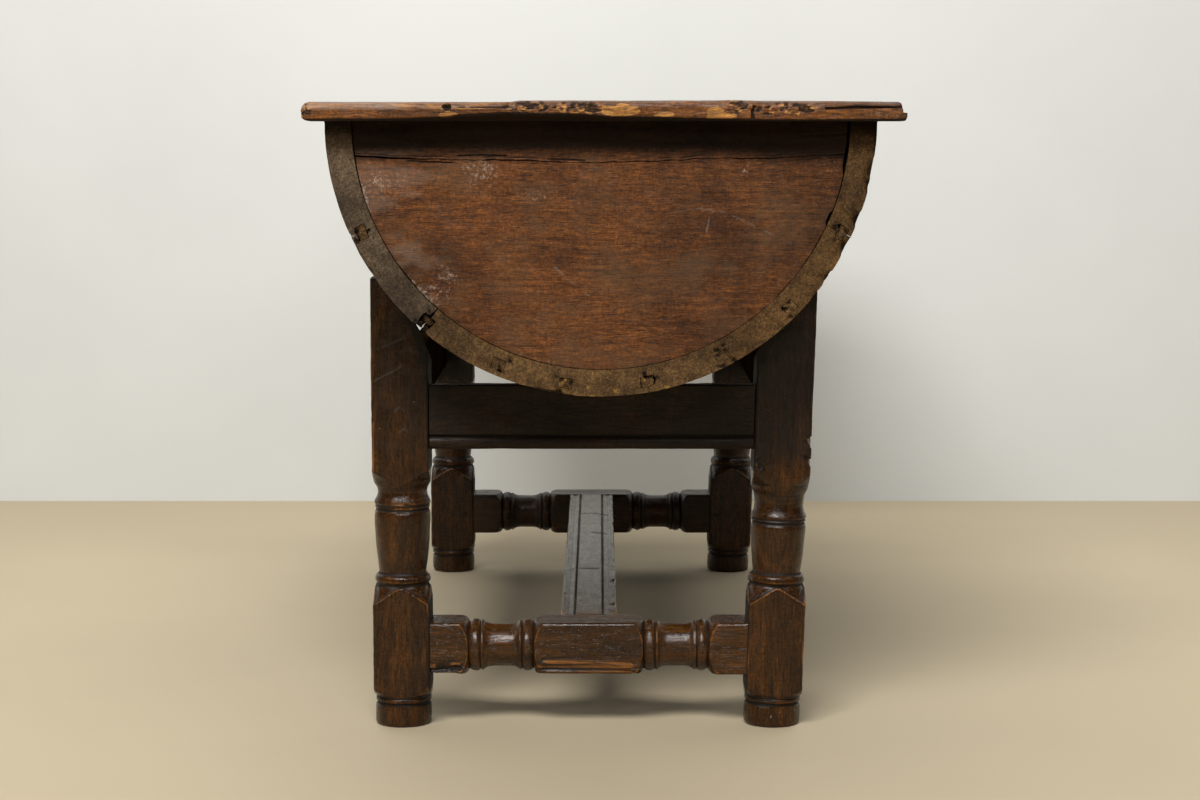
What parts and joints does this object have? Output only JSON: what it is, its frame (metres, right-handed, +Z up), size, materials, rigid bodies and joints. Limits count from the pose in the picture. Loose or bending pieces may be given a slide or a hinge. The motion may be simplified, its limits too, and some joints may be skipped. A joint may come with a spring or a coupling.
{
  "type": "dough bin table",
  "caption": "Old joined table: a coopered half-round dough trough under a loose board lid, cradled on a stand with turned legs, turned end stretchers and a moulded centre board.",
  "frame": {"origin": "on the floor, under the middle of the lid", "axes": "+Z up, +Y along the table towards the end away from the picture's camera, +X across it, to the right as pictured"},
  "size_m": [0.684, 1.55, 0.76],
  "materials": {
    "stand_wood": "waxed, worn",
    "stave_wood": "dry, worn",
    "end_board_wood": "waxed, scuffed",
    "lid_wood": "waxed, worn",
    "peg_wood": "waxed, worn",
    "nail_iron": "dark, rusted"
  },
  "bodies": {
    "stand": {"leg_front_left": "stand_wood", "leg_front_right": "stand_wood", "leg_rear_left": "stand_wood", "leg_rear_right": "stand_wood", "end_rail_front": "stand_wood", "end_rail_rear": "stand_wood", "side_rail_left": "stand_wood", "side_rail_right": "stand_wood", "end_stretcher_front": "stand_wood", "end_stretcher_rear": "stand_wood", "centre_stretcher": "stand_wood", "rail_pegs": "peg_wood", "stretcher_pegs": "peg_wood"},
    "trough": {"stave_1": "stave_wood", "stave_2": "stave_wood", "stave_3": "stave_wood", "stave_4": "stave_wood", "stave_5": "stave_wood", "stave_6": "stave_wood", "stave_7": "stave_wood", "stave_8": "stave_wood", "stave_9": "stave_wood", "end_board_front": "end_board_wood", "end_board_front_top": "end_board_wood", "end_board_rear": "end_board_wood", "end_board_rear_top": "end_board_wood", "stave_tongues": "stave_wood", "stave_nails": "nail_iron"},
    "lid": {"lid_plank_left": "lid_wood", "lid_plank_middle": "lid_wood", "lid_plank_right": "lid_wood", "lid_end_front": "lid_wood", "lid_end_rear": "lid_wood", "lid_batten_front": "lid_wood", "lid_batten_rear": "lid_wood", "lid_end_pegs": "peg_wood", "batten_pegs": "peg_wood"}
  },
  "joints": [
    {"name": "trough_lift", "type": "slide", "parent": "stand", "child": "trough", "axis": [0, 0, 1], "range_m": [0, 0.4]},
    {"name": "lid_lift", "type": "slide", "parent": "trough", "child": "lid", "axis": [0, 0, 1], "range_m": [0, 0.35]}
  ]
}
